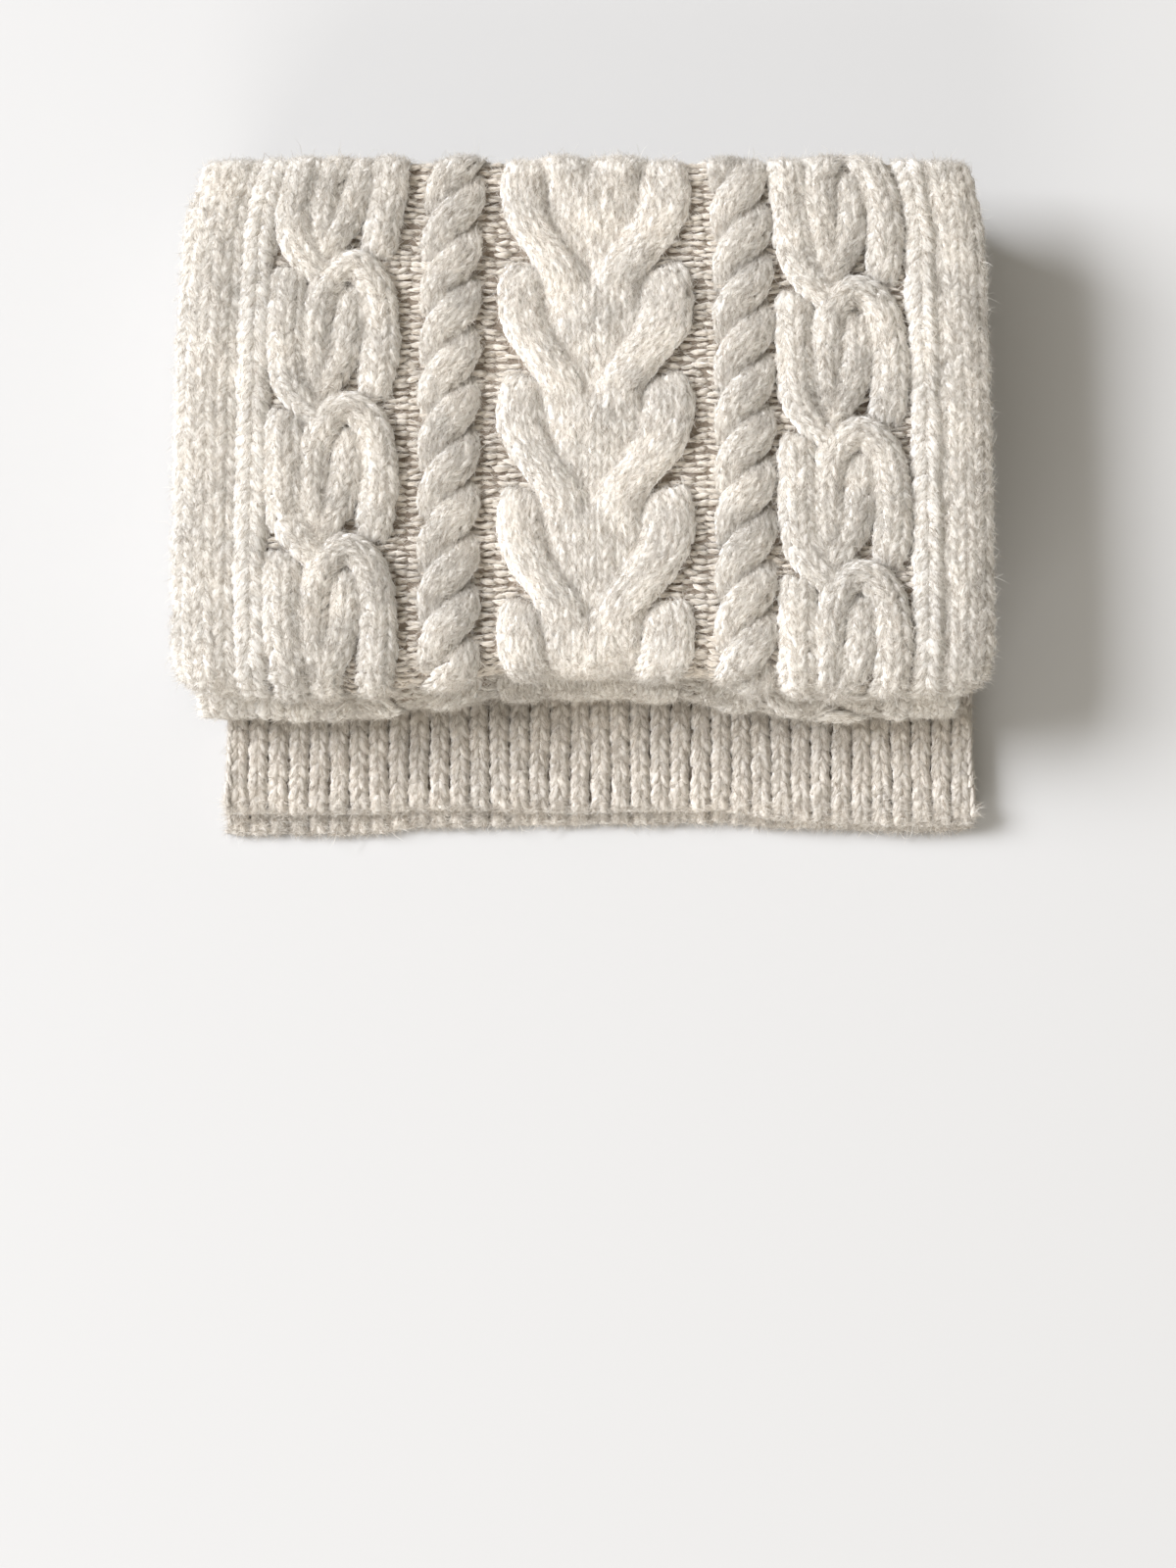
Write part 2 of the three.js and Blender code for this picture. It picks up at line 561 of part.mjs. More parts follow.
function hiddenLayers() {
  const justOver = 0.05;
  const heights = [];
  for (let level = 0; level <= (TOP_INSIDE / LAYER) * EDGE_STEPS_UP; level += 1) {
    heights.push((level * LAYER) / EDGE_STEPS_UP);
  }
  const ledges = [
    UPPER_HEM_Z + HEM_HEIGHT + 0.15,
    SECOND_FOLD_Z - TONGUE_RADIUS - justOver,
    SECOND_FOLD_Z + TONGUE_RADIUS,
    TOP_FOLD_Z - TONGUE_RADIUS - justOver,
    CLOSING_Z - CLOSING_RADIUS - SEAM_GAP,
    CLOSING_Z - (CLOSING_RADIUS - GROUND - SEAM_GAP) - justOver,
  ];
  const stepped = heights.filter((height) => ledges.every((ledge) => Math.abs(height - ledge) > 0.6));
  for (const ledge of ledges) stepped.push(ledge, ledge + justOver);
  stepped.push(TOP_INSIDE);
  stepped.sort((a, b) => a - b);
  const rings = stepped.map((height) => {
    const run = HIDDEN_RUNS.find((one) => height <= one.top);
    const inLayer = (height % LAYER) / LAYER;
    const groove = LAYER_GROOVE * (2 * inLayer - 1) ** 2;
    const nearTop = smooth(TOP_INSIDE - 4, TOP_INSIDE, height) * (SELVEDGE_REACH + TOP_TAPER);
    return hiddenRing({
      ...hiddenFront(height),
      left: run.left + groove + nearTop,
      right: run.right - groove - nearTop,
      back: hiddenBack(height, run),
      height,
    });
  });
  return ringStack(rings);
}

// A closed body from rings of the same number of points, one above the other
function ringStack(rings) {
  const size = rings[0].length;
  const positions = rings.flat(2);
  const triangles = [];
  for (let ring = 0; ring < rings.length - 1; ring += 1) {
    for (let at = 0; at < size; at += 1) {
      const next = (at + 1) % size;
      const [a, b] = [ring * size + at, ring * size + next];
      triangles.push(a, b, b + size, a, b + size, a + size);
    }
  }
  const cap = (ring, up) => {
    const outline = rings[ring].map(([x, y]) => new THREE.Vector2(x, y));
    for (const [a, b, c] of THREE.ShapeUtils.triangulateShape(outline, [])) {
      const [i, j, k] = [a, b, c].map((index) => ring * size + index);
      triangles.push(...(up ? [i, j, k] : [i, k, j]));
    }
  };
  cap(0, false);
  cap(rings.length - 1, true);
  return bodyGeometry(positions, triangles);
}

function wool(color) {
  return new THREE.MeshStandardMaterial({ color, roughness: 0.95, metalness: 0 });
}

function piece(name, geometry, color) {
  const mesh = new THREE.Mesh(geometry, wool(color));
  mesh.name = name;
  return mesh;
}

const scarf = new THREE.Group();
scarf.name = "folded_scarf";
scarf.add(
  piece("top_panel", topPanel(), 0xddd4c8),
  piece("second_fold", secondFold(), 0xd6ccc0),
  piece("rib_hem_upper", ribbedEnd("upper", UPPER_HEM_Z, 4), 0xdcd3c7),
  piece("rib_hem_lower", ribbedEnd("lower", 0, 2), 0xcfc5b8),
  piece("hidden_layers", hiddenLayers(), 0xd2c8bb),
);

export default scarf;
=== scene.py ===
# The looks of a folded cable-knit wool scarf: stitches of real yarn, their cloth and its halo.
# Lengths are in millimetres in the stack's own frame, and become metres where a mesh is made.

import math

import bpy
import numpy as np
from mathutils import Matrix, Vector


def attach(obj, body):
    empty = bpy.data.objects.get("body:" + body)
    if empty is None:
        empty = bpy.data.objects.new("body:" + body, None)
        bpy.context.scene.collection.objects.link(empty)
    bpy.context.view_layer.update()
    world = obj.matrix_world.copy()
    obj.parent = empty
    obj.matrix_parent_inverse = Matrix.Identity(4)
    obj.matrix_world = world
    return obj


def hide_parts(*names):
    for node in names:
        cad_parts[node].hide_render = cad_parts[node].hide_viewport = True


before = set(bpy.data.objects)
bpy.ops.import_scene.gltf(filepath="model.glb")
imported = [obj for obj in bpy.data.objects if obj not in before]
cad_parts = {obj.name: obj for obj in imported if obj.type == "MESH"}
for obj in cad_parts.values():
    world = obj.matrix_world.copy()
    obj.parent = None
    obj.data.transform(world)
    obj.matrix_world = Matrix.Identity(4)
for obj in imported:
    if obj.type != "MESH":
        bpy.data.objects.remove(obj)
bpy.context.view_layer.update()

MM = 0.001
random = np.random.default_rng(11)

# Sizes of the folded scarf, the same as the solids'
TOP_HALF_WIDTH = 143.0
FOLD_LEFT, FOLD_RIGHT = -135.5, 131.5
HEM_LEFT, HEM_RIGHT = -127.5, 139.5
BACK_EDGE = 116.0
TOP_FOLD_FRONT = -73.9
SECOND_FOLD_FRONT = -78.4
FOLD_BOW, BOW_HALF_WIDTH = 8.3, 100.0
GROUND = 3.3
STRAND_LIFT, STRAND_DOME = 2.7, 2.6
FOLD_RADIUS, CLOSING_RADIUS = 10.0, 5.0
TOP_FOLD_Z, SECOND_FOLD_Z = 40.3, 20.0
CLOSING_Z = TOP_FOLD_Z + FOLD_RADIUS - CLOSING_RADIUS
SELVEDGE_DROP, SELVEDGE_REACH = 2.4, 13.0
RIB_COUNT, RIB_RISE = 37, 2.2
HEM_HEIGHT, UPPER_HEM_Z, HEM_BACK = 4.6, 4.9, -41.0
HORSESHOE_REPEAT, CHAIN_REPEAT, ROPE_REPEAT = 40.6, 51.5, 18.55
ROW = 4.2  # height of one row of stitches

# The pattern across the scarf: kind, centre, half width, rise of plain wales or start of a cable
COLUMNS = [
    ("band", -133.2, 10.8, 2.5),
    ("wale", -117.0, 4.7, 3.2),
    ("chain", -87.7, 20.6, 30.2),
    ("rope", -47.5, 11.3, 32.8),
    ("horseshoe", 2.0, 37.6, -4.4),
    ("rope", 57.0, 11.3, 23.2),
    ("chain", 93.2, 20.6, 21.0),
    ("wale", 121.2, 4.5, 3.2),
    ("band", 134.8, 9.2, 2.5),
]
HORSESHOE_COLUMN = 4
BAND_WALES = 3
LEFT_CHAIN_END = -71.0  # along to where the left chain's strands run straight, over the front lip

# Purl stitches fill whatever the cables leave between these places across
PURL_LEFT, PURL_RIGHT = -112.4, 116.6
PURL_STEP = 4.4

# Strands of the cables: along to the front, across, lift over the ground, half width.
# A horseshoe strand's second number is its way out, from 0 at the inside to 1 at the lobe.
HORSESHOE_INNER = {-1: 8.0, 1: 9.2}
HORSESHOE_REACH = {-1: 24.2, 1: 28.0}
HORSESHOE_HALF = {-1: 0.89, 1: 1.0}
HORSESHOE_STRAND = [
    (0.0, 0.92, -0.1, 7.2), (4.6, 0.98, 0.65, 8.4), (12.4, 1.0, 1.05, 9.0), (20.0, 0.92, 1.15, 8.8),
    (27.0, 0.71, 1.25, 8.3), (34.0, 0.42, 1.35, 8.1), (40.5, 0.15, 1.35, 8.4), (46.5, 0.02, 1.2, 8.7),
    (54.0, 0.0, 0.75, 9.2), (64.0, 0.0, 0.4, 9.4), (72.0, 0.0, 0.2, 9.2), (80.0, 0.0, 0.1, 9.0),
    (90.0, 0.0, -0.1, 8.8),
]
PLATEAU_HALF, PLATEAU_RISE = 16.0, 5.7
ARMS_MEET = 43.6  # along from a horseshoe's start to where its arms meet
ROPE_STRAND = [
    (-3.2, 4.8, -0.7, 4.2), (0.6, 5.6, 0.3, 4.9), (5.0, 5.3, 1.1, 5.7), (9.5, 2.6, 1.4, 6.4),
    (13.8, -1.4, 1.3, 6.4), (18.5, -4.6, 0.95, 5.6), (23.5, -5.7, 0.3, 4.7), (28.5, -5.8, -0.5, 4.0),
    (33.0, -5.4, -1.0, 3.8),
]
CHAIN_RING = [
    (53.0, -2.4, -0.2, 4.6), (48.8, -4.9, 0.6, 4.8), (40.6, -6.9, 0.9, 5.0), (26.5, -7.2, 1.0, 5.2),
    (15.9, -5.8, 1.05, 5.2), (8.2, -1.9, 1.15, 5.2), (4.4, 3.4, 1.2, 5.2), (6.6, 9.2, 1.2, 5.4),
    (14.2, 13.9, 1.1, 5.8), (26.5, 15.6, 1.0, 6.1), (38.9, 15.4, 1.0, 6.1), (47.0, 14.4, 0.7, 5.8),
    (52.5, 13.2, -0.1, 5.0),
]
CHAIN_INNER = [
    (12.6, 5.2, 0.0, 4.6), (18.0, 4.7, 0.7, 5.2), (29.0, 4.0, 0.9, 5.4), (38.9, 1.8, 1.0, 5.2),
    (46.0, -2.4, 1.05, 5.0), (51.6, -5.6, 0.7, 4.6), (55.2, -7.8, -0.1, 4.2),
]
CHAIN_TAILS = [(-15.8, 6.0), (-3.6, 5.4), (13.8, 5.8)]  # across, half width
CHAIN_OUTER = [
    (5.6, -17.4, 0.0, 5.2), (10.6, -17.9, 0.8, 6.0), (28.3, -18.0, 1.0, 6.2), (42.4, -17.0, 1.0, 6.1),
    (49.5, -14.2, 1.0, 5.9), (54.8, -9.8, 0.9, 5.6), (58.7, -5.0, 0.5, 5.2), (60.8, -2.0, -0.1, 4.8),
]

# The top run's side edges as shares of its half width: along, left, right
SIDE_EDGES = np.array([
    (-80, 0.985, 0.985), (-62, 0.996, 0.997), (-40, 1.0, 1.0), (24, 1.0, 1.0),
    (56, 0.996, 0.994), (88, 0.985, 0.988), (99, 0.974, 0.978), (109, 0.948, 0.962), (130, 0.9, 0.93),
])

# The cast-on edges: across, upper end, lower end
CAST_ON_EDGES = np.array([
    (HEM_LEFT, -111.6, -118.1), (-76, -111.9, -118.3), (-60, -110.0, -115.6), (-4, -111.2, -114.6),
    (50, -110.2, -113.8), (68, -113.8, -115.6), (118, -116.0, -117.0), (HEM_RIGHT, -115.2, -116.4),
])


def smooth(low, high, value):
    share = np.clip((value - low) / (high - low), 0, 1)
    return share * share * (3 - 2 * share)


def bow(across):
    share = np.clip(np.abs(across) / BOW_HALF_WIDTH, 0, 1)
    return FOLD_BOW * (0.5 + 0.5 * np.cos(np.pi * share))


def corner(across):
    """How far a fold's ends round back."""
    return 6.0 * np.clip((np.abs(across) - 129) / 14, 0, 1.2) ** 2


def swell(x, y):
    """Slow unevenness of cloth that lies on cloth."""
    broad = 0.5 * np.sin(x / 31 + 1.3) * np.sin(y / 27 + 0.4)
    return broad + 0.35 * np.sin(x / 17 - y / 43) + 0.25 * np.sin(y / 15 + x / 60)


# Cloths: each gives the points at places across and along it, some height over its ground

def top_cloth(across, along, height):
    front = TOP_FOLD_FRONT + FOLD_RADIUS + bow(across) + corner(across)
    back = BACK_EDGE - CLOSING_RADIUS
    lip = np.clip((front - along) / (FOLD_RADIUS + 1), 0, np.pi)
    under = np.maximum(0, front - along - np.pi * (FOLD_RADIUS + 1))
    end = np.clip((along - back) / CLOSING_RADIUS, 0, np.pi)
    fade = (1 - smooth(0.35 * np.pi, 0.8 * np.pi, lip)) * (1 - 0.5 * smooth(0, 0.4 * np.pi, end))
    lift = height * fade * (1 - smooth(0.45 * np.pi, 0.9 * np.pi, end))
    y = np.where(lip > 0, front + under - (FOLD_RADIUS + lift) * np.sin(lip), along)
    z = TOP_FOLD_Z + (FOLD_RADIUS + lift) * np.cos(lip)
    y = np.where(end > 0, back + (CLOSING_RADIUS + lift) * np.sin(end), y)
    z = np.where(end > 0, CLOSING_Z + (CLOSING_RADIUS + lift) * np.cos(end), z)
    left = np.interp(along, SIDE_EDGES[:, 0], SIDE_EDGES[:, 1])
    right = np.interp(along, SIDE_EDGES[:, 0], SIDE_EDGES[:, 2])
    x = across * np.where(across < 0, left, right)
    from_edge = np.clip((TOP_HALF_WIDTH - np.abs(across)) / SELVEDGE_REACH, 0, 1)
    top = (1 - smooth(0, 0.9 * np.pi, lip)) * (1 - smooth(0, 0.8 * np.pi, end))
    z = z - SELVEDGE_DROP * (1 - from_edge) ** 2 * top + swell(x, y) * top
    return np.stack([x, y, z], axis=-1)


def second_cloth(across, along, height):
    """The second fold. Along is 0 where its arc begins on top, and falls round the front."""
    place = (FOLD_LEFT + FOLD_RIGHT) / 2 + across * (FOLD_RIGHT - FOLD_LEFT) / 2 / TOP_HALF_WIDTH
    front = SECOND_FOLD_FRONT + FOLD_RADIUS + bow(place)
    turn = np.clip(-along / (FOLD_RADIUS + 1), 0, np.pi)
    fade = (1 - smooth(0.5 * np.pi, 0.88 * np.pi, turn)) * smooth(0.1 * np.pi, 0.38 * np.pi, turn)
    lift = height * fade * 0.55
    back = np.maximum(0, along) + np.maximum(0, -along - np.pi * (FOLD_RADIUS + 1))
    y = front + back - (FOLD_RADIUS + lift) * np.sin(turn)
    z = SECOND_FOLD_Z + (FOLD_RADIUS + lift) * np.cos(turn)
    return np.stack([place, y, z], axis=-1)


def hem_cloth(edge_column, underside):
    def cloth(across, along, height):
        edge = np.interp(across, CAST_ON_EDGES[:, 0], CAST_ON_EDGES[:, edge_column])
        inside = np.clip((along - edge) / 3.5, 0, 1)
        z = underside + (HEM_HEIGHT - RIB_RISE) * (0.45 + 0.55 * inside) + height
        return np.stack([across + 0 * along, along + 0 * across, z], axis=-1)
    return cloth


# Strands as smooth curves, and the cable pattern that repeats them

def spline(rows, steps=10):
    """The rows' own columns along one smooth curve through them."""
    rows = np.array(rows, float)
    ends = np.vstack([2 * rows[0] - rows[1], rows, 2 * rows[-1] - rows[-2]])
    t = np.linspace(0, 1, steps, endpoint=False)[:, None]
    parts = []
    for i in range(len(rows) - 1):
        a, b, c, d = ends[i:i + 4]
        curve = 2 * b + (c - a) * t + (2 * a - 5 * b + 4 * c - d) * t ** 2
        parts.append(0.5 * (curve + (3 * b - a - 3 * c + d) * t ** 3))
    parts.append(rows[-1:])
    return np.vstack(parts)


def horseshoe_half(side):
    inner, reach, scale = HORSESHOE_INNER[side], HORSESHOE_REACH[side], HORSESHOE_HALF[side]
    return spline([
        (along, side * (inner + share * (reach - inner)), lift, half * scale)
        for along, share, lift, half in HORSESHOE_STRAND
    ])


CABLES = {
    "horseshoe": (HORSESHOE_REPEAT, [(horseshoe_half(-1), 4), (horseshoe_half(1), 4)]),
    "rope": (ROPE_REPEAT, [(spline(ROPE_STRAND), 3)]),
    "chain": (CHAIN_REPEAT, [(spline(rows), 2) for rows in (CHAIN_RING, CHAIN_INNER, CHAIN_OUTER)]),
}


def placed_strands(low, high, shift=0.0):
    """Every strand and wale between two places along a cloth: across, along, crown, half; wales."""
    placed = []
    for kind, centre, half, value in COLUMNS:
        if kind in ("wale", "band"):
            along = np.linspace(high, low, int((high - low) / 3) + 2)
            flat = np.ones_like(along)
            rows = np.stack([centre * flat, along, value * flat, half * flat], 1)
            placed.append((rows, BAND_WALES if kind == "band" else 1))
            continue
        repeat, strands = CABLES[kind]
        straight = kind == "chain" and centre < 0 and low < LEFT_CHAIN_END
        for curve, wales in strands:
            first = math.floor((low - value + shift) / repeat) - 1
            last = math.ceil((high - value + shift) / repeat) + 3
            for k in range(first, last):
                along = value - shift + k * repeat - curve[:, 0]
                crown = STRAND_DOME + STRAND_LIFT * curve[:, 2]
                rows = np.stack([centre + curve[:, 1], along, crown, curve[:, 3]], 1)
                if straight:
                    rows = rows[along > LEFT_CHAIN_END]
                    if len(rows) < 12:
                        continue
                if along.max() > low and along.min() < high:
                    placed.append((rows, wales))
        if straight:
            along = np.linspace(LEFT_CHAIN_END + 2, low, 16)
            flat = np.ones_like(along)
            for across, half in CHAIN_TAILS:
                crown = (STRAND_DOME + STRAND_LIFT) * flat
                rows = np.stack([(centre + across) * flat, along, crown, half * flat], 1)
                placed.append((rows, 2))
    return placed


def dome(share):
    """A strand's height across it, from 1 in the middle to 0 at its edge."""
    return np.sqrt(np.clip(1 - np.abs(share) ** 2.6, 0, 1))


def relief(across, along, strands, shift=0.0):
    """Height of the pattern over the ground at many places."""
    height = np.zeros(np.broadcast(across, along).shape)
    for rows, wales in strands:
        if wales != 1 and rows[:, 2].max() > STRAND_DOME + STRAND_LIFT * 0.85:
            rows = rows[rows[:, 2] > STRAND_DOME + STRAND_LIFT * 0.85]
        reach = rows[:, 3].max()
        near = (
            (across > rows[:, 0].min() - reach) & (across < rows[:, 0].max() + reach)
            & (along > rows[:, 1].min() - reach) & (along < rows[:, 1].max() + reach)
        )
        if not near.any():
            continue
        spot_x, spot_y = across[near], along[near]
        best = np.zeros(spot_x.shape)
        for x, y, crown, half in rows[::3]:
            slack = 6.0 if rows[0, 0] == rows[-1, 0] else 0.0
            away = np.hypot(spot_x - x, np.maximum(0, np.abs(spot_y - y) - slack))
            best = np.maximum(best, crown * dome(away / half))
        height[near] = np.maximum(height[near], best)
    return np.maximum(height, plateau(across, along, shift))


def plateau(across, along, shift=0.0):
    """The broad ridge between the horseshoes. It sinks a little where the arms meet over it."""
    kind, centre, half, start = COLUMNS[HORSESHOE_COLUMN]
    cycle = (start - along - shift - ARMS_MEET) / HORSESHOE_REPEAT
    phase = cycle - np.floor(cycle)
    rise = 1 - 0.42 * smooth(0.45, 1.0, phase) - 0.42 * (1 - smooth(0, 0.25, phase))
    return rise * PLATEAU_RISE * np.sqrt(np.clip(1 - ((across - centre) / PLATEAU_HALF) ** 2, 0, 1))


# Yarn: each stitch is two short legs that lean together towards the back

LEG_SHARES = np.linspace(0, 1, 4)
LEG_TAPER = np.array([0.62, 1.0, 1.0, 0.66])
LEG_RISE = -0.42 + 0.62 * np.sin(np.pi * LEG_SHARES)
LEG_SPREAD = 0.08 + 0.33 * smooth(0, 0.9, LEG_SHARES)
LEG_REACH = 0.9  # rows to each side of the stitch
PURL_TAPER = np.array([0.9, 1.0, 0.72, 0.3])
YARN_SIDES = 4


class Yarn:
    """Short tubes of yarn, gathered for one mesh."""

    def __init__(self):
        self.points, self.local, self.roots = [], [], []

    def tubes(self, cloth, across, along, height, wide, tall, hairy=1.0):
        """Tubes along the last axis of the arrays, lying on a cloth; a share of them is hairy."""
        spine = cloth(across, along, height)
        up = cloth(across, along, height + 1.0) - spine
        up /= np.linalg.norm(up, axis=-1, keepdims=True) + 1e-9
        run = np.gradient(spine, axis=-2)
        run /= np.linalg.norm(run, axis=-1, keepdims=True) + 1e-9
        side = np.cross(run, up)
        side /= np.linalg.norm(side, axis=-1, keepdims=True) + 1e-9
        up = np.cross(side, run)
        count, stations = spine.shape[0], spine.shape[1]
        angle = np.pi / 2 + np.arange(YARN_SIDES) * 2 * np.pi / YARN_SIDES
        out_side = np.cos(angle)[None, None, :] * wide[..., None]
        out_up = np.sin(angle)[None, None, :] * tall[..., None]
        ring = (spine[:, :, None, :] + out_side[..., None] * side[:, :, None, :]
                + out_up[..., None] * up[:, :, None, :])
        length = np.linalg.norm(np.diff(spine, axis=1), axis=-1)
        length = np.concatenate([np.zeros((count, 1)), np.cumsum(length, axis=1)], axis=1)
        chance = random.uniform(0, 900, (count, 1, 1))
        local = np.stack(np.broadcast_arrays(length[..., None] + chance, out_side, out_up), axis=-1)
        self.points.append(ring.reshape(-1, 3))
        self.local.append(local.reshape(-1, 3))
        inner = slice(1, stations - 1)
        roots = np.concatenate([
            spine[:, inner], up[:, inner], run[:, inner], side[:, inner],
            wide[:, inner, None], tall[:, inner, None]], axis=-1).reshape(-1, 14)
        self.roots.append(roots[:int(len(roots) * hairy)])

    def stitches(self, cloth, rows, wales, low, high, sink=1.1, fill=0.97, ridge=None, row=ROW):
        """The stitches of one strand, wale by wale, between two places along the cloth."""
        step = np.hypot(np.diff(rows[:, 0]), np.diff(rows[:, 1]))
        run = np.concatenate([[0], np.cumsum(step)])
        count = max(1, int(round(run[-1] / row)))
        pitch = run[-1] / count
        tangent = np.gradient(rows[:, :2], run, axis=0)
        tangent /= np.linalg.norm(tangent, axis=1, keepdims=True)
        number = np.arange(count)[:, None, None, None]
        wale = np.arange(wales)[None, :, None, None]
        hand = np.array([-1.0, 1.0])[None, None, :, None]
        share = LEG_SHARES[None, None, None, :]
        shape = (count, wales, 2, 1)

        def jitter(size):
            return random.normal(0, size, shape)

        at = (number + 0.5) * pitch - LEG_REACH * pitch * (1 - 2 * share) + jitter(0.35)
        at = np.clip(at, 0, run[-1])
        x, y, crown, half = (np.interp(at, run, rows[:, i]) for i in range(4))
        tx, ty = (np.interp(at, run, tangent[:, i]) for i in range(2))
        width = 2 * half * fill / wales
        spread = hand * width * LEG_SPREAD[None, None, None, :] * (1 + jitter(0.08))
        off = half * fill * ((2 * wale + 1) / wales - 1) + spread + jitter(0.16)
        across, along = x - ty * off, y + tx * off
        ground = crown * dome(off / (half * 1.03))
        if ridge is not None:
            ground = np.where(crown > STRAND_DOME * 0.8, np.maximum(ground, ridge(across, along)), ground)
        height = ground - sink + LEG_RISE * np.clip(width / 5.0, 0.75, 1.2) + jitter(0.16)
        taper = LEG_TAPER[None, None, None, :] * (1 + jitter(0.1))
        wide = 0.36 * width * taper
        tall = (0.12 * width + 0.45) * taper

        def flat(value):
            return np.broadcast_to(value, across.shape).reshape(-1, len(LEG_SHARES))

        parts = [flat(v) for v in (across, along, height, wide, tall)]
        middle = parts[1].mean(axis=1)
        keep = (middle > low) & (middle < high)
        if wales > 1:
            keep &= flat(crown).mean(axis=1) > STRAND_DOME * 0.7
        if keep.any():
            self.tubes(cloth, *(part[keep] for part in parts))

    def purl(self, cloth, strands, low, high, chosen, shift):
        """Purl bars wherever the cables leave the ground bare."""
        across = np.arange(PURL_LEFT, PURL_RIGHT, PURL_STEP)
        across = across[(across >= chosen[0]) & (across < chosen[1])]
        along = np.arange(low, high, 2.5)
        middle, place = (grid.ravel() for grid in np.meshgrid(across, along))
        middle = middle + random.normal(0, 0.5, middle.shape)
        bare = relief(middle, place, strands, shift) < 2.4
        middle, place = middle[bare][:, None], place[bare][:, None]
        share = LEG_SHARES[None, :]
        shape = middle.shape
        arch = 1 - (2 * share - 1) ** 2
        hand = np.where(random.uniform(0, 1, shape) < 0.5, -1.0, 1.0)
        spread = hand * (share - 0.45) * PURL_STEP * random.uniform(1.1, 1.7, shape)
        lean = random.normal(0, 0.8, shape) * (share - 0.5)
        place = place - 0.7 * arch + random.normal(0, 0.4, shape) + lean
        lift = -1.25 + 1.5 * arch + random.normal(0, 0.4, shape)
        thick = 1.0 * PURL_TAPER[None, :] * (1 + random.normal(0, 0.16, shape))
        order = random.permutation(len(middle))
        self.tubes(cloth, (middle + spread)[order], place[order], lift[order], thick[order],
                   thick[order], hairy=1.0)

    def build(self, name, material):
        points, local = lifted(np.vstack(self.points)), np.vstack(self.local)
        stations = len(LEG_SHARES)
        size = stations * YARN_SIDES
        tubes = len(points) // size
        ring = np.arange(YARN_SIDES)
        after = (ring + 1) % YARN_SIDES
        base = np.arange(stations - 1)[:, None] * YARN_SIDES
        first, second = base + ring, base + after
        third, fourth = second + YARN_SIDES, first + YARN_SIDES
        lower = np.stack([first, second, third], axis=-1).reshape(-1, 3)
        upper = np.stack([first, third, fourth], axis=-1).reshape(-1, 3)
        cap = np.array([(0, 2, 1), (0, 3, 2)])
        last = (stations - 1) * YARN_SIDES
        one = np.vstack([lower, upper, cap, cap[:, ::-1] + last])
        faces = (one[None] + np.arange(tubes)[:, None, None] * size).reshape(-1, 3)
        return mesh_object(name, points, faces, material, local)


def lifted(points):
    """The points, with none under the floor that the scarf lies on."""
    points[:, 2] = np.maximum(points[:, 2], 0.03)
    return points


def mesh_object(name, points, faces, material, local=None):
    """A smooth mesh from points in millimetres and faces that all have the same number of corners."""
    corners = faces.shape[1]
    mesh = bpy.data.meshes.new(name)
    mesh.vertices.add(len(points))
    mesh.vertices.foreach_set("co", (np.asarray(points, np.float32) * MM).ravel())
    mesh.loops.add(faces.size)
    mesh.loops.foreach_set("vertex_index", faces.astype(np.int32).ravel())
    mesh.polygons.add(len(faces))
    mesh.polygons.foreach_set("loop_start", np.arange(0, faces.size, corners, dtype=np.int32))
    mesh.polygons.foreach_set("use_smooth", np.ones(len(faces), bool))
    mesh.update(calc_edges=True)
    if local is not None:
        yarn = mesh.attributes.new("yarn", "FLOAT_VECTOR", "POINT")
        yarn.data.foreach_set("vector", np.asarray(local, np.float32).ravel())
    mesh.materials.append(material)
    made = bpy.data.objects.new(name, mesh)
    bpy.context.scene.collection.objects.link(made)
    return made


def closed_grid(name, outer, inner, material):
    """A closed thin cloth between two grids of points."""
    rows, columns = outer.shape[:2]
    size = rows * columns
    ids = np.arange(size).reshape(rows, columns)
    quads = np.stack([ids[:-1, :-1], ids[:-1, 1:], ids[1:, 1:], ids[1:, :-1]], -1).reshape(-1, 4)
    rim = np.concatenate([ids[0, :], ids[1:, -1], ids[-1, -2::-1], ids[-2:0:-1, 0]])
    after = np.roll(rim, -1)
    edge = np.stack([after, rim, rim + size, after + size], -1)
    points = np.vstack([outer.reshape(-1, 3), inner.reshape(-1, 3)])
    return mesh_object(name, points, np.vstack([quads, quads[:, ::-1] + size, edge]), material)


def knit_ground(name, cloth, across, along, strands, material, shift=0.0):
    """The cloth under the stitches: it follows the cables a little below them."""
    u, v = np.meshgrid(across, along)
    height = np.maximum(0, relief(u, v, strands, shift) - 1.0) - 0.4
    return closed_grid(name, cloth(u, v, height), cloth(u, v, 0 * u - GROUND + 0.1), material)


# Materials

